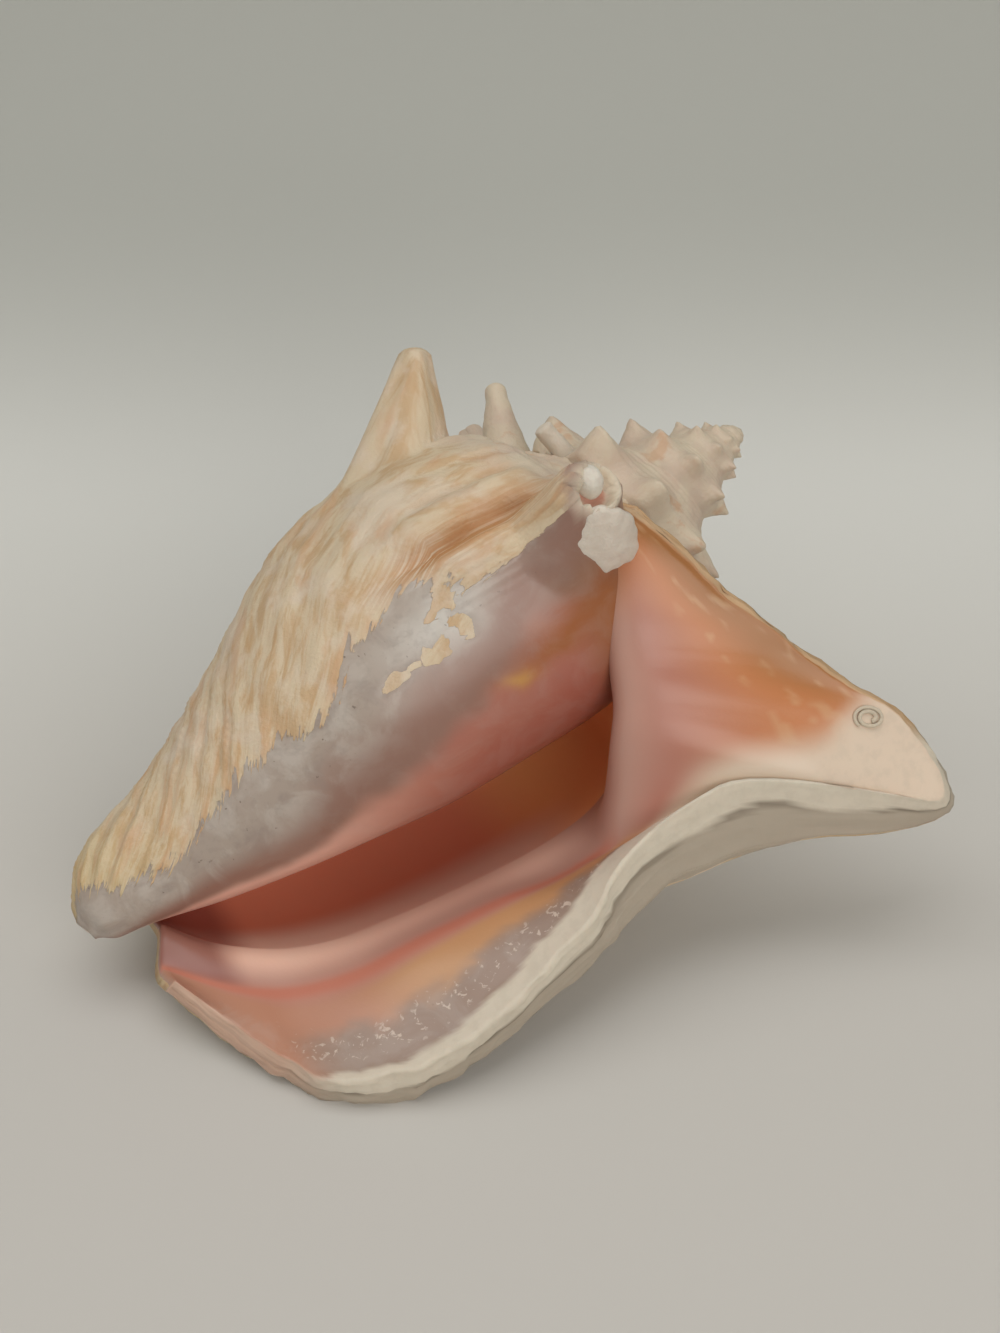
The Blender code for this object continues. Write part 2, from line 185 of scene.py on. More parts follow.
def wall_inside(turn, row, thickness):
    """The outside's profile moved in along its normal by the wall's thickness."""
    r, u = profile(turn, row)
    r0, u0 = profile(turn, np.clip(row - .01, 0, 1))
    r1, u1 = profile(turn, np.clip(row + .01, 0, 1))
    size = np.hypot(r1 - r0, u1 - u0)
    return r - thickness * (u1 - u0) / size, u + thickness * (r1 - r0) / size


def noise(points, seed=0):
    """Smooth random values from -1 to 1 on a lattice of unit cells, blended between corners."""
    points = np.asarray(points, float)
    cell = np.floor(points).astype(np.int64)
    part = points - cell
    part = part * part * part * (part * (part * 6 - 15) + 10)
    total = np.zeros(points.shape[:-1])
    for corner in range(8):
        step = np.array([corner & 1, corner >> 1 & 1, corner >> 2 & 1])
        at = cell + step
        code = at[..., 0] * 73856093 ^ at[..., 1] * 19349663 ^ at[..., 2] * 83492791 ^ seed * 7919
        code = (code ^ code >> 13) * 1274126177 & 0x7fffffff
        value = ((code ^ code >> 15) & 0xffff) / 32767.5 - 1
        weight = np.where(step, part, 1 - part).prod(axis=-1)
        total += value * weight
    return total


def fractal(points, octaves=3, seed=0):
    """Noise added to itself at half the size and half the strength, a few times."""
    total = 0
    for k in range(octaves):
        total = total + noise(np.asarray(points) * 2 ** k, seed + k) / 2 ** k
    return total


def rib_curves(ribs, counts):
    """One smooth curve for each row through its ribs, with a count of points in each gap."""
    step = np.linalg.norm(np.diff(ribs, axis=1), axis=2, keepdims=True)
    slope = np.diff(ribs, axis=1) / step
    share = step[:, 1:] / (step[:, 1:] + step[:, :-1])
    tangent = np.concatenate([slope[:, :1], slope[:, :-1] * share + slope[:, 1:] * (1 - share),
                              slope[:, -1:]], axis=1)
    parts = []
    for k, count in enumerate(counts):
        t = (np.arange(count) / count)[None, :, None]
        a, b, h = ribs[:, k:k + 1], ribs[:, k + 1:k + 2], step[:, k:k + 1]
        parts.append(a * (1 + 2 * t) * (1 - t) ** 2 + tangent[:, k:k + 1] * h * t * (1 - t) ** 2
                     + b * t * t * (3 - 2 * t) + tangent[:, k + 1:k + 2] * h * t * t * (t - 1))
    return np.concatenate(parts + [ribs[:, -1:]], axis=1)


LIP_TO_CREST = 34
LIP_TO_EDGE = 44


def lip_sheet(row):
    """Inner and outer face of the flared lip, one curve per row through root, crest and edge."""
    ribs = []
    for turn in (.10, .055, .01):
        full = np.full_like(row, turn)
        r, u = wall_inside(full, row, WALL)
        ribs.append(place(full, r, u))
    turned = np.array([1, 1, -1.0])
    crest = hermite(CREST[:, 1:], CREST[:, 0], row) * turned
    margin = hermite(MARGIN[:, 1:], MARGIN[:, 0], row) * turned
    edge = hermite(OUTER_EDGE[:, 1:], OUTER_EDGE[:, 0], row) * turned
    chip = fractal(np.stack([row * 30, 0 * row, 0 * row], -1), 4, 5) * smooth((row - .02) / .05)
    margin = margin + (margin - crest) / length_of(margin - crest)[:, None] * (chip * .8)[:, None]
    chip = fractal(np.stack([row * 45, 0 * row + 9.5, 0 * row], -1), 4, 7) * smooth((row - .02) / .05)
    edge = edge + (edge - crest) / length_of(edge - crest)[:, None] * (chip * .9)[:, None]
    ribs = np.stack(ribs + [crest, margin], axis=1)
    inner = rib_curves(ribs, (1, 1, LIP_TO_CREST, LIP_TO_EDGE))
    full = np.full_like(row, .01)
    r, u = profile(full, row)
    at_root = place(full, r, u) - ribs[:, 2]
    at_edge = edge - margin
    b = np.concatenate([[0, 1], 2 + 5 * np.arange(LIP_TO_CREST) / LIP_TO_CREST,
                        7 + 6 * np.arange(LIP_TO_EDGE + 1) / LIP_TO_EDGE]) / 13
    share = smooth((b - .15) / .85)[None, :, None]
    thick = at_root[:, None] * (1 - share) + at_edge[:, None] * share
    return inner[:, 2:], (inner + thick)[:, 2:]


def row_places(turn):
    """The rows of one column: a skirt above the suture, the ramp, then down to the canal tip."""
    seam = SEAM_ROW * np.clip(turn, 0, 1)
    x = np.linspace(0, 1, ALL_ROWS - TOP_ROWS)
    wide = np.interp(x, [0, .44, 1], [0, .35, 1])
    x = mix(wide, x, smooth(turn / .4))
    return np.concatenate([np.linspace(-.1, seam, TOP_ROWS + 1)[:-1], seam + (1 - seam) * x])


def spine_axis(spine):
    """A spine's foot point inside the wall and its direction: outwards, leaning to the apex."""
    turn, depth, length, base, tip, lean, taper = spine
    rows = np.linspace(0, 1, 301)
    r, u = profile(np.full_like(rows, turn), rows)
    radius = np.interp(depth, np.maximum.accumulate(u), r)
    angle = 2 * math.pi * turn
    out = np.array([math.cos(angle), math.sin(angle), 0])
    axis = out + np.array([0, 0, lean])
    foot = out * (radius - base * SPINE_FOOT) + np.array([0, 0, -depth])
    return foot, axis / np.linalg.norm(axis)


def raise_spine(points, spine, crater=0.0):
    """Points lifted along a spine's axis to a cone's side, with a fillet round its foot."""
    turn, depth, length, base, tip, lean, taper = spine
    foot, axis = spine_axis(spine)
    rel = points - foot
    along = rel @ axis
    off = rel - along[..., None] * axis
    around = length_of(off)
    third = np.cross(axis, np.array([-math.sin(2 * math.pi * turn), math.cos(2 * math.pi * turn), 0]))
    bent = np.arctan2(off @ third, off @ np.cross(third, axis))
    uneven = 1 + .07 * np.sin(3 * bent + turn * 40) + .05 * np.sin(5 * bent + turn * 90)
    far = np.clip((around / uneven - tip) / (base - tip), 0, 2)
    height = (length + base * SPINE_FOOT) * (1 - far ** (1 / taper))
    height = height + tip * .5 * np.sqrt(np.clip(1 - (around / tip) ** 2, 0, 1))
    height = height - crater * smooth((tip * .86 - around) / (tip * .25))
    gap = height - along
    lift = .5 * (gap + np.sqrt(gap * gap + 3.0)) * smooth((base * 1.35 - around) / (base * .45))
    lift = lift * (along > -base * .5)
    return points + axis * lift[..., None]


def grid_normals(points, ring=False):
    """Unit normals of a grid of points, from its differences both ways."""
    if ring:
        first = np.roll(points, -1, axis=0) - np.roll(points, 1, axis=0)
    else:
        first = np.gradient(points, axis=0)
    across = np.cross(first, np.gradient(points, axis=1))
    return across / np.maximum(length_of(across), 1e-9)[..., None]


def slant(row):
    """Turns by which a growth line has swung round at each row, on its way to the canal."""
    return np.interp(row, [0, .42, .5, .6, .8, 1], [.055, 0, .03, .11, .32, .55])


def growth_relief(turn, row, down, points):
    """Height of the weathered outside: growth lines, weak spiral cords and slow waves, mm."""
    along = (turn - slant(row)) * 300
    wander = 3 * noise(points / 18, 3)
    lines = fractal(np.stack([(along + wander) / 3.2, down / 34, 0 * down], -1), 3, 11)
    coarse = noise(np.stack([(along + wander) / 9, down / 60, 0 * down + 4], -1), 17)
    cords = np.cos(2 * math.pi * (down + 2 * noise(points / 25, 21)) / 8.5)
    waves = noise(points / 16, 31)
    pits = noise(points / 2.2, 41)
    return .34 * lines + .4 * coarse + .16 * cords + .55 * waves + .06 * pits


def open_side_folds(turn, row):
    """The deep pleat that runs down from the broken spine, between two rounded folds, mm."""
    reach = smooth((row - .27) / .04) * smooth((.50 - row) / .1)
    bend = turn + .12 * (row - .38)
    pleat = -3.9 * bell((bend - .672) / .0085) * reach
    near_fold = 2.2 * bell((bend - .697) / .015) * reach
    far_fold = 1.9 * bell((bend - .647) / .013) * reach
    second = -1.3 * bell((bend - .628) / .006) * reach * smooth((.44 - row) / .06)
    leaves = .35 * np.sin(bend * 700 + 9 * row) * bell((bend - .69) / .03) * reach
    spine_fold = 1.9 * bell((turn - .505) / .02) * smooth((row - .38) / .04) * smooth((.62 - row) / .2)
    return pleat + near_fold + far_fold + second + leaves + spine_fold


def edge_turn(row):
    """Where the porcelain glaze of the open side ends, as a turn for each row."""
    rows = [0, .3, .39, .46, .53, .576, .687, .76, .832, .9, .94, 1]
    turns = [.74, .725, .715, .68, .69, .725, .70, .72, .745, .70, .63, .56]
    return np.interp(row, rows, turns)


def mesh_object(name, points, faces, values, colours):
    """A smooth-shaded mesh piece with its measures and tints stored on the points."""
    mesh = bpy.data.meshes.new(name)
    mesh.from_pydata(world(points).tolist(), [], faces)
    body = bmesh.new()
    body.from_mesh(mesh)
    if body.calc_volume(signed=True) < 0:
        mesh.flip_normals()
    body.free()
    mesh.shade_smooth()
    for key, data in values.items():
        kind = "FLOAT_VECTOR" if data.ndim == 2 else "FLOAT"
        layer = mesh.attributes.new(key, kind, "POINT")
        layer.data.foreach_set("vector" if data.ndim == 2 else "value", data.astype(np.float32).ravel())
    layer = mesh.attributes.new("tint", "FLOAT_COLOR", "POINT")
    full = np.concatenate([colours, np.ones((len(colours), 1))], axis=1)
    layer.data.foreach_set("color", full.astype(np.float32).ravel())
    made = bpy.data.objects.new(name, mesh)
    bpy.context.collection.objects.link(made)
    return made


def linear(code):
    """An sRGB hex colour as linear red, green and blue."""
    c = np.array([int(code[i:i + 2], 16) / 255 for i in (1, 3, 5)])
    return np.where(c <= .04045, c / 12.92, ((c + .055) / 1.055) ** 2.4)


GLAZE_GREY = linear("#ad9e92")
GLAZE_LILAC = linear("#957062")
SALMON = linear("#b37160")
ROSE = linear("#ab6353")
AMBER = linear("#a25f30")
DEEP_RUST = linear("#ffb679")
DEEP_ROSE = linear("#e6896b")
PALE_LILAC = linear("#c39788")
RIM_CREAM = linear("#d8cdbb")
RIM_GREY = linear("#b3a695")
CHALK_PINK = linear("#dfcbb6")
# Pale peach painted as light along the crease between the hollow and the lip's root, lifting the shade there
CREASE_PAINTED_LIGHT = linear("#f9cfba")
PEACH = linear("#c9986d")
ORANGE = linear("#cb8456")
LIP_GREY = linear("#9c8374")
CHALK = linear("#d8ccb8")


def paint(base, colour, share):
    return base + (colour - base) * np.clip(share, 0, 1)[..., None]


def whorl_tint(turn, row, points):
    """Colour of the glaze on the body whorl: grey, lilac, then rose towards the aperture; inside it, a dark red by the
    overhang is painted shade.
    """
    wander = .012 * fractal(points / 14, 3, 51)
    turn = turn + wander
    tint = np.broadcast_to(GLAZE_GREY, points.shape).copy()
    start = np.interp(row, [.3, .39, .47, .61, .7, .83, 1], [.725, .75, .775, .815, .845, .87, .9])
    tint = paint(tint, GLAZE_LILAC, smooth((turn - start + .075) / .08))
    low = smooth((row - .5) / .2)[..., None]
    tint = tint + (mix(SALMON, linear("#e6b6a5"), low) - tint) * smooth((turn - start - .012) / .04)[..., None]
    tint = paint(tint, ROSE, smooth((turn - start - .05) / .06) * smooth((.62 - row) / .15))
    tint = paint(tint, linear("#cdc7bf"), bell((turn - .72) / .026) * bell((row - .455) / .055))
    # Dark brown in the upper corner towards the aperture: partly the shell's own brown, partly painted shade of the
    # posterior canal's recess
    tint = paint(tint, linear("#93694c"), .8 * smooth((.39 - row) / .06) * smooth((turn - .735) / .03))
    tint = paint(tint, AMBER, .85 * smooth((.40 - row) / .07) * smooth((turn - .765) / .05))
    tint = paint(tint, AMBER, 1.0 * bell((turn - .803) / .016) * bell((row - .385) / .05))
    tint = paint(tint, linear("#c9913f"), .9 * bell((turn - .81) / .01) * bell((row - .435) / .012))
    # Painted shade: inside the aperture the inner whorl's wall starts dark red next to the overhang and pales to pink
    # deeper in
    deep = paint(np.broadcast_to(linear("#b8523c"), points.shape), linear("#efb39d"), smooth((turn - 1.06) / .2))
    deep = paint(deep, linear("#a8483a"), .8 * smooth((row - .82) / .08))
    deep = paint(deep, DEEP_RUST, smooth((.54 - row) / .14))
    share = smooth((turn - .985) / .04)
    return tint + (deep - tint) * share[..., None]


def hollow_tint(turn, row, points):
    """Colour inside the aperture: rust in the upper pocket, rose and pale lilac below it, with a pale band along the
    crease by the lip's root that is painted light.
    """
    tint = np.broadcast_to(DEEP_ROSE, points.shape).copy()
    tint = paint(tint, DEEP_RUST, smooth((.52 - row) / .12))
    # Painted light: a pale band by the lip's root lifts the shade of the crease
    near = smooth((.085 - turn) / .05) * smooth((row - .36) / .12)
    tint = paint(tint, CREASE_PAINTED_LIGHT, near)
    tint = paint(tint, linear("#9a4c42"), .8 * smooth((row - .84) / .06))
    tint = paint(tint, linear("#cdbfa9"), smooth((turn - .3) / .05) * smooth((.12 - row) / .05))
    return tint


def lip_tint(out, row, points):
    """Colour of the lip's inner face from its crest (0) to its edge (1), row by row."""
    wing = smooth((.43 - row) / .05)
    tint = np.broadcast_to(PALE_LILAC, points.shape).copy()
    ragged = .1 * fractal(points / 7, 3, 95)
    # Painted light: the pale band from the hollow's crease goes on up the inner face from the root, fading towards the
    # crest
    tint = paint(tint, CREASE_PAINTED_LIGHT, smooth((-.15 - out) / .6) * smooth((row - .36) / .12))
    # Painted shade: a darker rose-brown on the inner face deep in the anterior canal
    tint = paint(tint, linear("#8f554b"), .85 * smooth((row - .86) / .06) * smooth((.1 - out) / .2))
    line = paint(tint, linear("#c9806b"), .95 * bell((out - .03) / .13))
    line = paint(line, PEACH, smooth((out - .1) / .14))
    line = paint(line, linear("#be8774"), .75 * smooth((row - .62) / .14) * smooth((out - .06) / .12))
    line = paint(line, LIP_GREY, smooth((out - .36 + ragged) / .3) * smooth((.88 - row) / .1))
    line = paint(line, linear("#b98a74"), .8 * smooth((row - .88) / .08) * smooth((out - .05) / .3))
    sheet = paint(tint, SALMON, .75 * smooth((out - .08) / .25))
    sheet = paint(sheet, ORANGE, smooth((out - .22) / .45) * smooth((.37 - row) / .06))
    sheet = paint(sheet, ORANGE, smooth((.14 - row) / .12))
    sheet = paint(sheet, linear("#a26c36"), .85 * smooth((.27 - row) / .1) * smooth((out - .5) / .4))
    flecks = noise(points / np.array([3.2, 3.2, 2.4]), 91) + .4 * np.sin(out * 36 + 2 * noise(points / 14, 93))
    sheet = paint(sheet, linear("#dcbb92"), .3 * smooth((flecks - .45) / .3) * smooth((out - .45) / .2))
    lower_band = smooth((row - .297 + .17 * (out - .45)) / .05) * smooth((out - .3) / .2)
    sheet = paint(sheet, CHALK_PINK, lower_band)
    tint = line + (sheet - line) * wing[..., None]
    return tint


def last_whorl():
    """The last whorl, its hollow and the flared lip as one closed skin.

    Columns run round a closed ring: up the inner whorl's wall inside the aperture, round the
    outside to the lip, over the lip's outer face, across its rim, back over its inner face
    and in along the hollow's outer wall.  Both ends of the ring are closed, across the
    wall's thickness or to a point on the axis.
    """
    deep = np.linspace(1 + INSIDE_TURNS, 1.0, 27)[:-1]
    round_back = np.linspace(1.0, INSIDE_TURNS, 211)[:-1]
    shared = np.concatenate([np.linspace(INSIDE_TURNS, .05, 80)[:-1], np.linspace(.05, .01, 12)[:-1]])
    outside_turns = np.concatenate([deep, round_back, shared])
    outside_rows = np.array([row_places(t) for t in outside_turns])
    turn = np.repeat(outside_turns[:, None], ALL_ROWS, axis=1)
    row = np.clip(outside_rows, 0, 1)
    skirt = np.clip(-outside_rows / .1, 0, 1)
    r, u = profile(turn, row)
    sunk = 2.6 * smooth((turn - .925) / .05) * smooth((SEAM_ROW - .02 - row) / .04)
    sunk = sunk + 5 * smooth((turn - 1.06) / .1) * smooth((SEAM_ROW + .04 - row) / .06)
    rounded = 1 - .5 * smooth((row - .95) / .05) ** 2 * smooth((turn - .45) / .1)
    outside = place(turn, r * rounded - 4 * skirt - sunk, u + 2 * skirt)
    inside_part = turn[len(deep) + len(round_back):]
    inside_row = row[len(deep) + len(round_back):]
    inside_skirt = skirt[len(deep) + len(round_back):]
    ri, ui = wall_inside(inside_part, inside_row, WALL)
    drawn_in = 7 * smooth((inside_part - .3) / .1) * smooth((.16 - inside_row) / .12)
    inside = place(inside_part, ri - 4 * inside_skirt - drawn_in, ui + 2 * inside_skirt + .5 * drawn_in)
    lip_rows = row_places(0.0)
    lip_row = np.clip(lip_rows, 0, 1)
    lip_skirt = np.clip(-lip_rows / .1, 0, 1)[:, None, None]
    inner, outer = lip_sheet(lip_row)
    sink = np.array([.8, .8, 1.0])
    inner = inner * mix(1, sink, lip_skirt) - np.array([0, 0, 5.0]) * lip_skirt
    outer = outer * mix(1, sink, lip_skirt) - np.array([0, 0, 5.0]) * lip_skirt
    inner, outer = inner.transpose(1, 0, 2), outer.transpose(1, 0, 2)
    across = np.linspace(0, 1, 19)[1:-1, None, None]
    rim = outer[-1] + (inner[-1] - outer[-1]) * across
    swell = (outer[-1] - outer[-3])
    swell = swell / np.maximum(length_of(swell), 1e-6)[:, None]
    broken = fractal(np.stack([rim[..., 0] / 5, across[..., 0] * 3 + 0 * rim[..., 0], rim[..., 2] / 5], -1), 3, 61)
    layer = across[..., 0] * 7 + .8 * noise(np.stack([rim[..., 0] / 14, 0 * rim[..., 0], rim[..., 2] / 14], -1), 65)
    steps = .55 * (layer - np.floor(layer)) - .5 * bell((layer - 3.3) / .5)
    rim = rim + swell * (.9 * np.sin(math.pi * across[..., 0]) + .45 * broken + steps)[..., None]
    cap = inside[0] + (outside[0] - inside[0]) * (np.array([.33, .67])[:, None, None])
    ring = np.concatenate([outside, outer, rim, inner[::-1], inside[::-1], cap])

    n_out, n_lip, n_rim, n_in = len(outside), len(outer), len(rim), len(inside)
    columns = len(ring)
    marks = np.zeros(columns, int)
    marks[n_out:n_out + n_lip] = 1
    marks[n_out + n_lip:n_out + n_lip + n_rim] = 2
    marks[n_out + n_lip + n_rim:n_out + 2 * n_lip + n_rim] = 3
    marks[n_out + 2 * n_lip + n_rim:] = 4

    all_row = np.concatenate([row, np.tile(lip_row, (2 * n_lip + n_rim, 1)), inside_row[::-1],
                              np.tile(inside_row[0], (2, 1))])
    # Turn of every column; the lip goes on past 0 as a growth measure of its outer face
    grow = -np.linspace(0, .16, n_lip)
    all_turn = np.concatenate([outside_turns, grow, np.full(n_rim, grow[-1]), grow[::-1],
                               shared[::-1], [INSIDE_TURNS + .3, INSIDE_TURNS + .6]])
    all_turn = np.repeat(all_turn[:, None], ALL_ROWS, axis=1)
    out = np.concatenate([np.linspace(-1, 0, LIP_TO_CREST + 1)[:-1], np.linspace(0, 1, LIP_TO_EDGE + 1)])
    all_out = np.concatenate([np.full(n_out, -1), out, np.ones(n_rim), out[::-1], np.full(n_in + 2, -1)])
    all_out = np.repeat(all_out[:, None], ALL_ROWS, axis=1)

    points = ring
    shown = np.clip(outside_rows, 0, 1)
    for number, spine in enumerate(SPINES):
        points[:n_out] = raise_spine(points[:n_out], spine, 5.5 if number == 4 else 0.0)
    normals = grid_normals(points, ring=True)
    side = 1 if (normals[n_out // 2, 90] * points[n_out // 2, 90])[:2].sum() > 0 else -1
    normals = normals * side
    down = np.concatenate([np.zeros((columns, 1)), length_of(np.diff(points, axis=1)).cumsum(axis=1)], axis=1)
    down = down - down[:, TOP_ROWS:TOP_ROWS + 1]
    measure = np.where(marks[:, None] == 0, all_row * 200, all_row * 200)

    coat = (all_turn - edge_turn(all_row)) * 2 * math.pi * np.hypot(points[..., 0], points[..., 1])
    coat = np.where((marks == 0)[:, None], coat, np.where((marks == 1)[:, None], -40, 40))
    coat = np.where((marks == 2)[:, None], 40, coat)
    coat = coat + 40 * smooth((all_turn - 1) / .05) * (marks == 0)[:, None]
    behind = smooth((all_turn - .88) / .04) * smooth((.34 - all_row) / .03) * (marks == 0)[:, None]
    coat = coat - 120 * behind
    ragged_edge = fractal(points / 3.6, 3, 83)
    for w, s, wide, tall, depth in [(.738, .450, 3, 4.5, 20), (.743, .474, 1.7, 3, 22), (.740, .505, 1.8, 3.5, 24), (.71, .44, 2.5, 6, 12)]:
        far = ((all_turn - w) * 260 / wide) ** 2 + ((all_row - s) * 200 / tall) ** 2
        far = np.maximum(far + 1.6 * ragged_edge, 0)
        coat = coat - depth * np.exp(-far) * (marks == 0)[:, None]
    outside_share = smooth(-coat / 2 + .5)
    relief = growth_relief(all_turn, all_row, measure, points) * outside_share
    relief = relief + open_side_folds(all_turn, all_row) * (marks == 0)[:, None]
    relief = relief + .25 * noise(points / 13, 71) * (marks == 3)[:, None] * smooth((1 - all_out) / .1)
    relief = relief + .4 * fractal(points / 3.2, 2, 73) * (marks == 2)[:, None]
    relief = relief * (outside_hidden(marks, all_row, n_out, skirt))
    points = points + normals * relief[..., None]

    chalk = np.where((marks == 2)[:, None], 30.0 - 40 * smooth((all_row - .84) / .04), -30.0)
    tip = np.array([104, -29, -28.0])
    edge_far = (1 - all_out) * np.where(all_row < .33, 60, 34)
    wide = np.interp(all_row, [0, .24, .28, .33, .36, .42, .5, .7, .8, .88, 1], [-2, -2, 0, 6, 12, 19, 9, 3, 3, -2, -2])
    wide = wide + 1.2 * noise(points / 3.5, 85)
    at_tip = 33 - length_of(points - tip)
    chalk = np.where((marks == 3)[:, None], np.maximum(wide - edge_far, at_tip * .3), chalk)
    under = smooth((all_row - .36) / .04) * smooth((.84 - all_row) / .04) * (marks == 1)[:, None]
    under = under * smooth((7 - edge_far + 2 * ragged_edge) / 3)
    chalk = np.where((marks == 1)[:, None], 60 * under - 30, chalk)
    foot, axis = spine_axis(SPINES[4])
    end = foot + axis * (SPINES[4][2] + SPINES[4][3] * SPINE_FOOT)
    at_end = 8.5 - length_of(points - end)
    chalk = np.where((marks == 0)[:, None], np.maximum(chalk, at_end * 2), chalk)
    tint = whorl_tint(all_turn, all_row, points)
    tint = paint(tint, linear("#dccfba"), smooth(at_end / 3))
    inside_end = smooth((4.5 - length_of(points - end + axis * 3)) / 1.5)
    tint = paint(tint, linear("#c08a78"), inside_end)
    inside_tint = hollow_tint(all_turn, all_row, points)
    tint = np.where((marks == 4)[:, None, None], inside_tint, tint)
    lip_colour = lip_tint(all_out, all_row, points)
    tint = np.where((marks == 3)[:, None, None], lip_colour, tint)
    fading = np.zeros(columns)
    fading[n_out + n_lip:n_out + n_lip + n_rim] = np.linspace(0, 1, n_rim)
    fading[n_out + n_lip + n_rim:] = 1
    crack = noise(np.stack([points[..., 0] / 9, 0 * all_row, points[..., 2] / 9], -1), 67)
    outer_layers = smooth((fading[:, None] - .52 - .12 * crack) / .08)
    rim_colour = RIM_GREY + (RIM_CREAM - RIM_GREY) * outer_layers[..., None]
    dark_line = bell((fading[:, None] - .5 - .12 * crack) / .045) * smooth(crack * 2 + .6)
    rim_colour = paint(rim_colour, linear("#6f6353"), .75 * dark_line)
    near_rim = smooth((wide - edge_far) / 2 + .5) * (marks == 3)[:, None]
    rim_colour = paint(rim_colour, linear("#cba58f"), .85 * smooth((all_row - .8) / .09))
    near_rim = near_rim * smooth((.88 - all_row) / .08)
    rim_share = np.where((marks == 2)[:, None], 1.0, np.maximum(near_rim, under))
    tint = tint + (rim_colour - tint) * rim_share[..., None]
    tint = paint(tint, CHALK_PINK, smooth(at_tip / 9 + .5) * (marks == 3)[:, None])
    thin_edge = (marks == 2)[:, None] * smooth((.275 - all_row) / .03)
    tint = paint(tint, linear("#c79c6c"), .8 * thin_edge)
    grain = np.stack([(all_turn - slant(all_row)) * 300, measure, 0 * measure], -1)
    speck = bell((all_out - .66) / .2) * smooth((all_row - .42) / .06) * smooth((.9 - all_row) / .08)
    speck = np.where((marks == 3)[:, None], speck, 0)
    towards = np.interp(all_row, [.3, .39, .47, .61, .7, .83, 1], [.745, .76, .775, .815, .845, .87, .9])
    mottle = np.where((marks == 0)[:, None], 1 - .85 * smooth((all_turn - towards + .07) / .07), 0)
    mottle = mottle + (.3 * smooth((all_out - .4) / .2) * smooth((all_row - .45) / .05)) * (marks == 3)[:, None]

    pale = smooth((.335 - all_row) / .07) * np.maximum(smooth((.70 - all_turn) / .03), behind)
    bend = all_turn + .12 * (all_row - .38)
    rust = bell((bend - .677) / .017) * smooth((all_row - .25) / .05) * smooth((.52 - all_row) / .1)
    normals = grid_normals(points, ring=True) * side
    grown = [encrusting_patch(), worm_tube(points, normals, n_out + n_lip + n_rim + n_lip - 1 - 73, 64)]
    points, faces = close_ring(points, n_out, n_lip, n_rim, n_in, len(deep) + len(round_back))
    extra = len(points) - columns * ALL_ROWS
    values = {
        "grain": np.concatenate([grain.reshape(-1, 3), np.zeros((extra, 3))]),
        "coat": np.concatenate([coat.ravel(), np.zeros(extra)]),
        "chalk": np.concatenate([chalk.ravel(), np.full(extra, -30.0)]),
        "speck": np.concatenate([speck.ravel(), np.zeros(extra)]),
        "mottle": np.concatenate([mottle.ravel(), np.zeros(extra)]),
        "pale": np.concatenate([pale.ravel(), np.zeros(extra)]),
        "rust": np.concatenate([rust.ravel(), np.zeros(extra)])}
    colours = np.concatenate([tint.reshape(-1, 3), np.tile(DEEP_ROSE, (extra, 1))])
    return [mesh_object("last_whorl", points, faces, values, colours)] + grown


def outside_hidden(marks, row, n_out, skirt):
    """1 where relief shows, 0 on the outside's skirts and at the canal end's last rows, so that closed seams stay shut.
    """
    share = np.ones(row.shape)
    share[:n_out] *= 1 - smooth(skirt / .2)
    share *= smooth((1.0 - row) / .015)
    return share


def close_ring(points, n_out, n_lip, n_rim, n_in, first_shared):
    """Faces of the ring: quads between columns, a zip across the wall at each end, and a fan."""
    columns, rows = points.shape[:2]
    c = np.arange(columns)[:, None]
    j = np.arange(rows - 1)[None, :]
    d = (c + 1) % columns
    quads = np.stack([c * rows + j, d * rows + j, d * rows + j + 1, c * rows + j + 1], -1).reshape(-1, 4)
    faces = quads.tolist()
    flat = list(points.reshape(-1, 3))
    left = np.arange(first_shared, n_out + n_lip)
    right = np.concatenate([np.arange(n_out + 2 * n_lip + n_rim + n_in - 1, n_out + 2 * n_lip + n_rim - 1, -1),
                            np.arange(n_out + 2 * n_lip + n_rim - 1, n_out + n_lip + n_rim - 1, -1)])
    middle = np.arange(n_out + n_lip - 1, n_out + n_lip + n_rim + 1)
    loop = list(range(0, first_shared + 1)) + list(range(right[0], columns))
    for at, centre, turned in ((0, [0, 0, -66.0], False), (rows - 1, [0, 0, -213.5], True)):
        for k in range(len(left) - 1):
            face = [left[k] * rows + at, right[k] * rows + at, right[k + 1] * rows + at, left[k + 1] * rows + at]
            faces.append([int(v) for v in (face[::-1] if turned else face)])
        face = [int(m * rows + at) for m in middle]
        faces.append(face[::-1] if not turned else face)
        hub = len(flat)
        flat.append(np.array(centre))
        for k in range(len(loop)):
            a, b = loop[k] * rows + at, loop[(k + 1) % len(loop)] * rows + at
            faces.append([b, a, hub] if not turned else [a, b, hub])
    return np.array(flat), faces


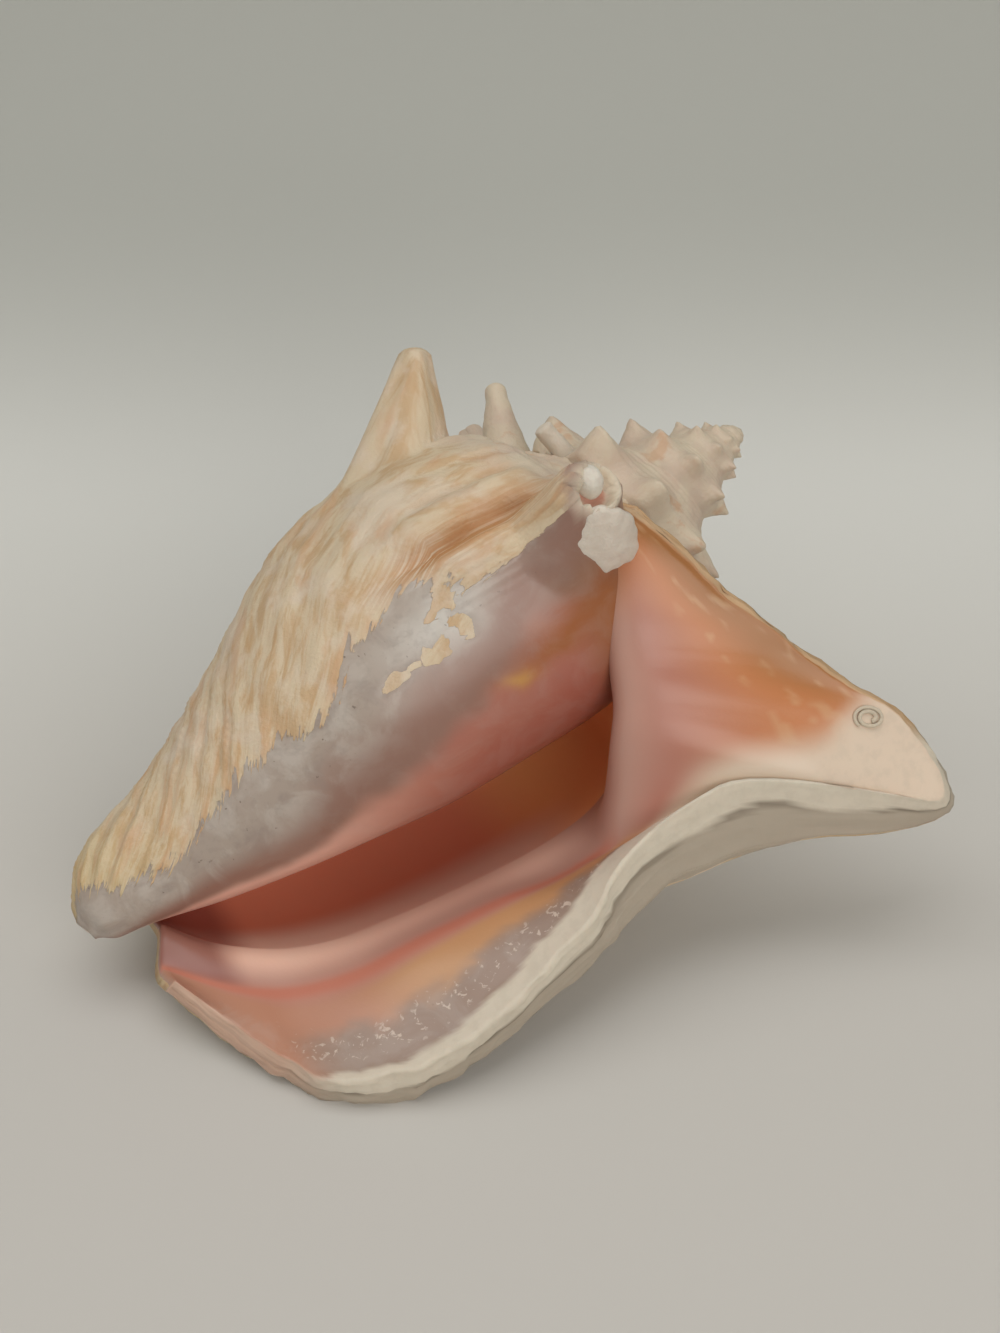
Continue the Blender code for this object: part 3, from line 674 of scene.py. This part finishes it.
def spire_profile(turn, row):
    """Radius and depth on the spire: suture, ramp, knobbed shoulder and down to the next suture."""
    scale = SHOULDER_DEPTH * GROWTH ** (-turn)
    knots = np.array([0, .3, .6, .8, 1.0])
    shape = np.array([(.395, .763), (.47, .87), (.58, .985), (.625, 1.08), (.632, 1.22)])
    both = hermite(shape, knots, row.ravel()).reshape(row.shape + (2,))
    r, u = both[..., 0] * scale, both[..., 1] * scale
    first = smooth((2.1 - turn) / .5)
    r_last, u_last = profile(np.clip(turn, 1, 1.5), row * SEAM_ROW)
    near = smooth((1.5 - turn) / .3)
    suture_r, suture_u = profile(np.clip(turn - 1, 0, 1.5), 0 * row)
    blend = smooth((row - .7) / .3) * (turn <= 2.2)
    r = r * (1 - near) + r_last * near
    u = u * (1 - near) + u_last * near
    r = r * (1 - blend * first) + suture_r * blend * first
    u = u * (1 - blend * first) + suture_u * blend * first
    place_in_row = turn * 8 + .06 * noise(np.stack([turn * 8, 0 * turn, 0 * turn], -1), 81)
    knob = .5 + .5 * np.cos(2 * math.pi * place_in_row)
    knob = knob ** 2 * smooth((5.6 - turn) / .4)
    height = .36 * (1 - .35 * smooth((turn - 2.6) / 2)) * (1 + .25 * noise(np.stack([np.round(turn * 8), 0 * turn, 0 * turn + 3], -1), 83))
    lift = height * knob * np.exp(-np.abs((row - .68) / .22) ** 1.35)
    broken = BREAK * smooth((turn - 1.5) / 2)
    return r * (1 + lift), u - r * lift * .18 - broken


def spire():
    """The spire as a strip from suture to suture, wound up to the broken apex, closed inside."""
    per_turn, rows = 112, 40
    columns = int(round((SPIRE_END - SPIRE_START) * per_turn)) + 1
    turns = SPIRE_START + np.arange(columns) / per_turn
    turn, row = np.meshgrid(turns, np.linspace(0, 1, rows), indexing="ij")
    r, u = spire_profile(turn, row)
    r = r - EMBED * smooth((1 - turn) / (1 - SPIRE_START))
    r[per_turn:, -1] = r[:-per_turn, 0]
    u[per_turn:, -1] = u[:-per_turn, 0]
    points = place(turn, r, u)
    normals = grid_normals(points)
    if (normals[columns // 2, rows // 2] * points[columns // 2, rows // 2])[:2].sum() < 0:
        normals = -normals
    measure = row * SEAM_ROW * 200
    relief = growth_relief(turn, row * SEAM_ROW, measure, points) * .7 * GROWTH ** (1 - turn)
    relief = relief * smooth(row / .06) * smooth((1 - row) / .06)
    points = points + normals * relief[..., None]
    flat = list(points.reshape(-1, 3))
    c = np.arange(columns - 1)[:, None]
    j = np.arange(rows - 1)[None, :]
    quads = np.stack([c * rows + j, c * rows + j + 1, (c + 1) * rows + j + 1, (c + 1) * rows + j], -1)
    faces = quads.reshape(-1, 4).tolist()
    skirt = len(flat)
    for k in range(per_turn + 1):
        p = flat[k * rows + rows - 1]
        flat.append(np.array([p[0] * .75, p[1] * .75, p[2] - 8]))
    for k in range(per_turn):
        faces.append([k * rows + rows - 1, skirt + k, skirt + k + 1, (k + 1) * rows + rows - 1])
    cap = len(flat)
    flat.append(np.array([0, 0, -75.0]))
    for k in range(per_turn):
        faces.append([skirt + k, cap, skirt + k + 1])
    for k in range(rows - 1):
        faces.append([k + 1, k, cap])
    faces.append([0, skirt + per_turn, cap])
    faces.append([skirt, rows - 1, cap])
    apex = len(flat)
    flat.append(np.array([0, 0, -.6]))
    for k in range(columns - 1 - per_turn, columns - 1):
        faces.append([k * rows, (k + 1) * rows, apex])
    end = (columns - 1) * rows
    for k in range(rows - 1):
        faces.append([end + k, end + k + 1, apex])
    points = np.array(flat)
    # Each turn's lower edge is the upper edge of the turn before it, so they share points
    shared = np.arange(len(points))
    grid = shared[:columns * rows].reshape(columns, rows)
    grid[per_turn:, -1] = grid[:-per_turn, 0]
    kept = shared == np.arange(len(points))
    number = np.cumsum(kept) - 1
    faces = [[int(number[shared[v]]) for v in face] for face in faces]
    extra = len(points) - columns * rows
    pad = np.zeros(extra)
    grain = np.stack([turn * 300, measure, 0 * turn], -1).reshape(-1, 3)
    values = {
        "grain": np.concatenate([grain, np.zeros((extra, 3))]),
        "coat": np.concatenate([np.full(columns * rows, -30.0), pad - 30]),
        "chalk": np.full(len(points), -30.0),
        "speck": np.zeros(len(points)),
        "mottle": np.ones(len(points)),
        "pale": np.ones(len(points)),
        "rust": np.zeros(len(points))}
    values = {name: value[kept] for name, value in values.items()}
    colours = np.tile(CHALK, (kept.sum(), 1))
    return mesh_object("spire", points[kept], faces, values, colours)


def plain_piece(name, points, faces, chalk, pale, colour):
    """A small piece of one colour: chalky where chalk is above 0, else outer lime."""
    n = len(points)
    values = {"grain": points * 1.0, "coat": np.full(n, -30.0), "chalk": np.full(n, chalk), "speck": np.zeros(n),
              "mottle": np.zeros(n), "pale": np.full(n, pale), "rust": np.zeros(n)}
    return mesh_object(name, points, faces, values, np.tile(linear(colour), (n, 1)))


def round_faces(rings, around):
    """Quads between closed rings of points, then fans to the last two points, one at each end."""
    k = np.arange(rings - 1)[:, None] * around
    j = np.arange(around)[None, :]
    nxt = (j + 1) % around
    faces = np.stack([k + j, k + nxt, k + around + nxt, k + around + j], -1).reshape(-1, 4).tolist()
    start, end = rings * around, rings * around + 1
    last = (rings - 1) * around
    for a in range(around):
        b = (a + 1) % around
        faces.append([start, b, a])
        faces.append([last + a, last + b, end])
    return faces


def side_ways(axis):
    """Two unit directions square to an axis and to each other, turning right-handed round it."""
    first = np.cross(axis, [.3, .2, 1.0])
    first = first / np.linalg.norm(first)
    return first, np.cross(axis, first)


def free_spine(name, foot, tip, wide, thin, pale):
    """A worn spine from foot to blunt tip: its radius falls along it, with weak uneven ribs."""
    foot, tip = np.array(foot, float), np.array(tip, float)
    length = np.linalg.norm(tip - foot)
    axis = (tip - foot) / length
    first, second = side_ways(axis)
    t = np.concatenate([np.linspace(0, .94, 26), .94 + .06 * np.sin(np.linspace(.2, 1.5, 7))])
    round_end = np.sqrt(np.clip(1 - ((t - .94) / .0605).clip(0, 1) ** 2, 0, 1))
    radius = (thin + (wide - thin) * (1 - t) ** 1.25) * round_end
    angle = np.linspace(0, 2 * math.pi, 49)[:-1]
    ring = first * np.cos(angle)[:, None] + second * np.sin(angle)[:, None]
    points = foot + axis * (t * length)[:, None, None] + ring * radius[:, None, None]
    points = points + ring * (.35 * fractal(points / 5, 3, 33) * (radius[:, None] > .5))[..., None]
    points = np.concatenate([points.reshape(-1, 3), foot[None], tip[None]])
    return plain_piece(name, points, round_faces(len(t), 48), 30.0 if pale else -30.0, 1.0,
                       "#d5cabb" if pale else "#d8ccb8")


def spine_ball():
    """The white rounded lump held in the hollow broken end of the open side's spine."""
    foot, axis = spine_axis(SPINES[4])
    first, second = side_ways(axis)
    centre = foot + axis * (SPINES[4][2] + SPINES[4][3] * SPINE_FOOT - .6) + np.array([-2.4, 0, .4])
    lat = np.linspace(.12, math.pi - .12, 19)[:, None]
    angle = np.linspace(0, 2 * math.pi, 33)[:-1][None, :]
    way = (first * (np.sin(lat) * np.cos(angle))[..., None] + second * (np.sin(lat) * np.sin(angle))[..., None]
           - axis * (np.cos(lat) + 0 * angle)[..., None])
    way = way - second * (way @ second)[..., None] * .22
    points = centre + way * (4.1 + .25 * noise(way * 2.2 + 7, 23))[..., None]
    ends = np.array([centre - axis * 4.1, centre + axis * 4.1])
    points = np.concatenate([points.reshape(-1, 3), ends])
    return plain_piece("spine_ball", points, round_faces(19, 32), 30.0, 1.0, "#dcd5c9")


def encrusting_patch():
    """A scalloped white crust below the broken spine: a thin lens with a rough domed face."""
    centre = np.array([1.6, -49.9, -59.6])
    right, up = np.array([4.5, 1.6, 6.9]), np.array([-5.6, -7.2, 3.6])
    square = np.cross(right, up)
    square = square / np.linalg.norm(square)
    if square[1] > 0:
        square = -square
    rings, around = 18, 80
    angle = np.linspace(0, 2 * math.pi, around + 1)[:-1][None, :]
    far = np.linspace(.05, 1, rings)[:, None]
    edge = 1 + .05 * np.cos(5 * angle + 2) + .05 * np.cos(3 * angle + 1) + .02 * np.cos(13 * angle + 2)
    flat = (right * (far * edge * np.cos(angle))[..., None] + up * (far * edge * np.sin(angle))[..., None])
    bend = 11 * (far * np.clip(np.cos(angle), 0, 1)) ** 2 + 3 * (far * np.clip(-np.sin(angle), 0, 1)) ** 2
    flat = flat + np.array([.003, .974, .227]) * bend[..., None]
    sag = 1.6 * (far * np.clip(-np.cos(angle), 0, 1)) ** 2
    height = 1.5 * (1 - far ** 4) ** .5 + .3 * fractal(flat / 3.2 + 9, 3, 29) * (1 - far ** 3) - sag
    top = centre + flat + square * height[..., None]
    under = centre + flat * .97 + square * (-1.2 - sag)[..., None]
    points = np.concatenate([top, under[::-1]])
    ends = np.stack([top[0].mean(axis=0), under[0].mean(axis=0)])
    points = np.concatenate([points.reshape(-1, 3), ends])
    return plain_piece("encrusting_patch", points, round_faces(2 * rings, around), 30.0, 1.0, "#ddd2c5")


def worm_tube(grid, normals, column, row):
    """A curled worm tube on the wing: a thin round tube wound in a flat spiral of two turns."""
    centre, up = grid[column, row], normals[column, row]
    first = grid[column + 1, row] - grid[column - 1, row]
    first = first - up * (first @ up)
    first = first / np.linalg.norm(first)
    second = np.cross(up, first)
    t = np.linspace(0, 1, 90)[:, None]
    angle = 2 * math.pi * 1.8 * t + 2.2
    far = 1.0 + 2.2 * t ** .8
    path = centre + first * far * np.cos(angle) * 1.25 + second * far * np.sin(angle) * .9 + up * (.25 + .15 * t)
    along = np.gradient(path, axis=0)
    along = along / length_of(along)[:, None]
    side = np.cross(along, up)
    side = side / length_of(side)[:, None]
    lift = np.cross(side, along)
    around = np.linspace(0, 2 * math.pi, 13)[:-1][None, :, None]
    thick = (.62 - .2 * t)[:, None, :]
    points = path[:, None] + thick * (side[:, None] * np.cos(around) + lift[:, None] * np.sin(around))
    points = np.concatenate([points.reshape(-1, 3), path[:1], path[-1:]])
    return plain_piece("worm_tube", points, round_faces(90, 12), 30.0, 1.0, "#cdbfab")


def add(nodes, kind, settings=None, **inputs):
    """One shader node with its settings, values and links: an input is a value or a socket."""
    node = nodes.new(kind)
    for key, value in (settings or {}).items():
        setattr(node, key, value)
    for key, value in inputs.items():
        name = key.replace("_", " ")
        socket = node.inputs[int(name[1:])] if name[1:].isdigit() else node.inputs[name]
        if isinstance(value, bpy.types.NodeSocket):
            nodes.id_data.links.new(value, socket)
        elif isinstance(value, np.ndarray):
            socket.default_value = tuple(value) + (1.0,) * (len(socket.default_value) - len(value))
        else:
            socket.default_value = value
    return node


def shell_material():
    """Weathered lime outside, porcelain glaze round the aperture and chalky broken rims."""
    material = bpy.data.materials.new("conch_lime_weathered_and_glazed")
    material.use_nodes = True
    nodes = material.node_tree.nodes
    surface = nodes["Principled BSDF"]
    grain = add(nodes, "ShaderNodeAttribute", {"attribute_name": "grain"}).outputs["Vector"]
    coat = add(nodes, "ShaderNodeAttribute", {"attribute_name": "coat"}).outputs["Fac"]
    chalk = add(nodes, "ShaderNodeAttribute", {"attribute_name": "chalk"}).outputs["Fac"]
    speck = add(nodes, "ShaderNodeAttribute", {"attribute_name": "speck"}).outputs["Fac"]
    mottle = add(nodes, "ShaderNodeAttribute", {"attribute_name": "mottle"}).outputs["Fac"]
    pale = add(nodes, "ShaderNodeAttribute", {"attribute_name": "pale"}).outputs["Fac"]
    rust = add(nodes, "ShaderNodeAttribute", {"attribute_name": "rust"}).outputs["Fac"]
    tint = add(nodes, "ShaderNodeAttribute", {"attribute_name": "tint"}).outputs["Color"]
    spot = add(nodes, "ShaderNodeTexCoord").outputs["Object"]

    def stretched(across, down, detail, seed):
        """Noise drawn out along the growth lines: sizes in mm across and along them."""
        moved = add(nodes, "ShaderNodeMapping", None, Vector=grain, Location=(seed, seed * .37, 0),
                    Scale=(1 / across, 1 / down, 1))
        return add(nodes, "ShaderNodeTexNoise", None, Vector=moved.outputs[0], Scale=1.0,
                   Detail=detail, Roughness=.6, Distortion=.6).outputs["Fac"]

    def even(width, detail, distortion=0.0):
        """Noise of one size in mm in every direction."""
        return add(nodes, "ShaderNodeTexNoise", None, Vector=spot, Scale=1000 / width,
                   Detail=detail, Roughness=.6, Distortion=distortion).outputs["Fac"]

    def span(value, low, high, first=0.0, last=1.0):
        return add(nodes, "ShaderNodeMapRange", {"interpolation_type": "SMOOTHSTEP"}, Value=value,
                   From_Min=low, From_Max=high, To_Min=first, To_Max=last).outputs["Result"]

    def blend(share, a, b):
        node = add(nodes, "ShaderNodeMix", {"data_type": "RGBA"}, _0=share, _6=a, _7=b)
        return node.outputs[2]

    def sum_of(a, b, kind="ADD"):
        return add(nodes, "ShaderNodeMath", {"operation": kind}, _0=a, _1=b).outputs[0]

    # Outside: cream lime with tan blotches in rows and thin rusty streaks along the growth lines
    blotch = span(stretched(5.5, 8, 3, 11), .42, .64)
    streak = span(stretched(2.4, 12, 3, 37), .52, .7)
    worn = span(even(16, 4), .45, .62)
    outside = blend(sum_of(blotch, .8, "MULTIPLY"), linear("#d6c3a6"), linear("#c6a47b"))
    outside = blend(sum_of(streak, .34, "MULTIPLY"), outside, linear("#bb8f5e"))
    outside = blend(sum_of(worn, .6, "MULTIPLY"), outside, linear("#dccbb8"))
    low = add(nodes, "ShaderNodeSeparateXYZ", None, Vector=grain).outputs["Y"]
    outside = blend(sum_of(span(low, 150, 190), .4, "MULTIPLY"), outside, linear("#c9b27c"))
    patch = span(stretched(12, 16, 3, 61), .5, .66)
    outside = blend(sum_of(patch, .45, "MULTIPLY"), outside, linear("#cf9f76"))
    ramp = blend(span(even(11, 3), .4, .65), linear("#d3c4ae"), linear("#cdb9a6"))
    ramp = blend(sum_of(streak, .12, "MULTIPLY"), ramp, linear("#bb9a72"))
    stain = span(even(10, 4, .6), .58, .68)
    ramp = blend(sum_of(stain, .55, "MULTIPLY"), ramp, linear("#c79a75"))
    outside = blend(pale, outside, ramp)
    outside = blend(sum_of(rust, span(stretched(1.1, 26, 3, 71), .38, .6, .1, 1), "MULTIPLY"), outside,
                    linear("#bb8450"))
    # Glaze: the tint worked out on the points, clouded by a soft mottle and a few dark specks
    cloud = span(even(13, 5, .6), .44, .62)
    glaze = blend(sum_of(cloud, sum_of(mottle, .5, "MULTIPLY"), "MULTIPLY"), tint, linear("#cbc3ba"))
    murk = span(even(9, 4, .5), .5, .68)
    glaze = blend(sum_of(murk, sum_of(mottle, .4, "MULTIPLY"), "MULTIPLY"), glaze, linear("#94857d"))
    grit = span(even(2.0, 3), .52, .66)
    glaze = blend(sum_of(grit, sum_of(mottle, .13, "MULTIPLY"), "MULTIPLY"), glaze, linear("#857a73"))
    dirt = span(even(1.6, 2), .70, .76)
    glaze = blend(sum_of(dirt, sum_of(mottle, .6, "MULTIPLY"), "MULTIPLY"), glaze, linear("#5d4c40"))
    white = span(sum_of(even(2.0, 3, .8), sum_of(speck, .12, "MULTIPLY")), .68, .76)
    glaze = blend(sum_of(white, sum_of(speck, .75, "MULTIPLY"), "MULTIPLY"), glaze, linear("#d8c7b8"))
    # Chalk: broken and weathered lime with a grey-brown tone in its pits
    pit = span(even(3.2, 5), .42, .66)
    chalky = blend(sum_of(pit, .14, "MULTIPLY"), tint, linear("#a89c8a"))
    torn = sum_of(sum_of(stretched(3.5, 13, 4, 91), -.5), 17, "MULTIPLY")
    ragged = sum_of(sum_of(sum_of(even(2.6, 4), -.5), 4, "MULTIPLY"), torn)
    glazed = span(sum_of(coat, ragged), -.35, .35)
    chalked = span(sum_of(chalk, sum_of(sum_of(even(6, 5), -.5), 7, "MULTIPLY")), -2, 2)
    colour = blend(chalked, blend(glazed, outside, glaze), chalky)
    rough = sum_of(span(glazed, 0, 1, .58, .3), span(chalked, 0, 1, 0, .35))
    fine = sum_of(sum_of(stretched(.9, 9, 3, 53), .5, "MULTIPLY"), even(.9, 3))
    bumpy = add(nodes, "ShaderNodeBump", None, Height=fine, Distance=.0004,
                Strength=span(glazed, 0, 1, .55, .06))
    flaked = add(nodes, "ShaderNodeBump", {"invert": True}, Height=glazed, Distance=.0005, Strength=.6,
                 Normal=bumpy.outputs[0])
    nodes.id_data.links.new(colour, surface.inputs["Base Color"])
    nodes.id_data.links.new(rough, surface.inputs["Roughness"])
    nodes.id_data.links.new(flaked.outputs[0], surface.inputs["Normal"])
    surface.inputs["IOR"].default_value = 1.53
    surface.inputs["Subsurface Weight"].default_value = .12
    surface.inputs["Subsurface Radius"].default_value = (1.0, .55, .4)
    surface.inputs["Subsurface Scale"].default_value = .004
    return material


lime = shell_material()
whorl, *grown_on = last_whorl()
upper = spire()
for number, shape in enumerate(FREE_SPINES):
    grown_on.append(free_spine("old_spine_%d" % (number + 1), *shape))
grown_on.append(spine_ball())
for piece in [whorl, upper] + grown_on:
    piece.data.materials.append(lime)
    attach(piece, "root")
    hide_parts("shell")


def paper_sweep():
    """The pale table and backdrop: a flat sheet that turns up behind the shell in a wide curve."""
    flat = np.linspace(-3, .16, 20)
    bend = np.linspace(0, math.pi / 2, 25)
    y = np.concatenate([flat, .16 + .22 * np.sin(bend[1:]), [.38, .38]])
    z = np.concatenate([0 * flat, .22 * (1 - np.cos(bend[1:])), [1.2, 3]])
    x = np.array([-3, 3.0])
    points = [(a, float(b), float(c)) for a in x for b, c in zip(y, z)]
    n = len(y)
    faces = [(k, n + k, n + k + 1, k + 1) for k in range(n - 1)]
    mesh = bpy.data.meshes.new("paper_sweep")
    mesh.from_pydata(points, [], faces)
    mesh.shade_smooth()
    made = bpy.data.objects.new("paper_sweep", mesh)
    bpy.context.collection.objects.link(made)
    material = bpy.data.materials.new("matt_pale_paper")
    material.use_nodes = True
    surface = material.node_tree.nodes["Principled BSDF"]
    nodes = material.node_tree.nodes
    spot = add(nodes, "ShaderNodeTexCoord").outputs["Object"]
    # Painted light and shade: the one pale paper is lighter towards the back of the table and the bend, and darker up
    # the backdrop
    height = add(nodes, "ShaderNodeSeparateXYZ", None, Vector=spot).outputs["Y"]
    back = add(nodes, "ShaderNodeMapRange", {"interpolation_type": "SMOOTHSTEP"}, Value=height,
               From_Min=.15, From_Max=.31).outputs["Result"]
    near = add(nodes, "ShaderNodeMapRange", {"interpolation_type": "SMOOTHSTEP"}, Value=height,
               From_Min=-.05, From_Max=.2).outputs["Result"]
    table = add(nodes, "ShaderNodeMix", {"data_type": "RGBA"}, _0=near, _6=linear("#cac7c2"),
                _7=linear("#dededa")).outputs[2]
    sheet = add(nodes, "ShaderNodeMix", {"data_type": "RGBA"}, _0=back, _6=table,
                _7=linear("#b1b2ac")).outputs[2]
    nodes.id_data.links.new(sheet, surface.inputs["Base Color"])
    surface.inputs["Roughness"].default_value = .8
    mesh.materials.append(material)
    return made


paper_sweep()


def soft_light(name, location, target, size, power, colour):
    """A large soft panel that faces its target."""
    light = bpy.data.lights.new(name, "AREA")
    light.shape = "DISK"
    light.size = size
    light.energy = power
    light.color = colour
    made = bpy.data.objects.new(name, light)
    bpy.context.collection.objects.link(made)
    made.location = location
    made.rotation_euler = (Vector(target) - Vector(location)).to_track_quat("-Z", "Y").to_euler()


soft_light("window", (-.22, .42, 1.25), (0, 0, .05), 1.9, 18.8, (1, .99, .97))
soft_light("room", (.45, -1.1, .7), (0, 0, .05), 1.0, 6.5, (1, .96, .9))
scene = bpy.context.scene
sky = bpy.data.worlds.new("room_light")
sky.use_nodes = True
sky.node_tree.nodes["Background"].inputs[0].default_value = (.93, .92, .88, 1)
sky.node_tree.nodes["Background"].inputs[1].default_value = .35
scene.world = sky
scene.view_settings.view_transform = "Standard"

camera = bpy.data.cameras.new("camera")
camera.lens = 48.67
camera.sensor_width = 36
camera.clip_start = .01
eye = bpy.data.objects.new("camera", camera)
bpy.context.collection.objects.link(eye)
eye.location = (-.0023, -.3467, .3618)
eye.rotation_euler = (math.radians(49.48), 0, 0)
scene.camera = eye
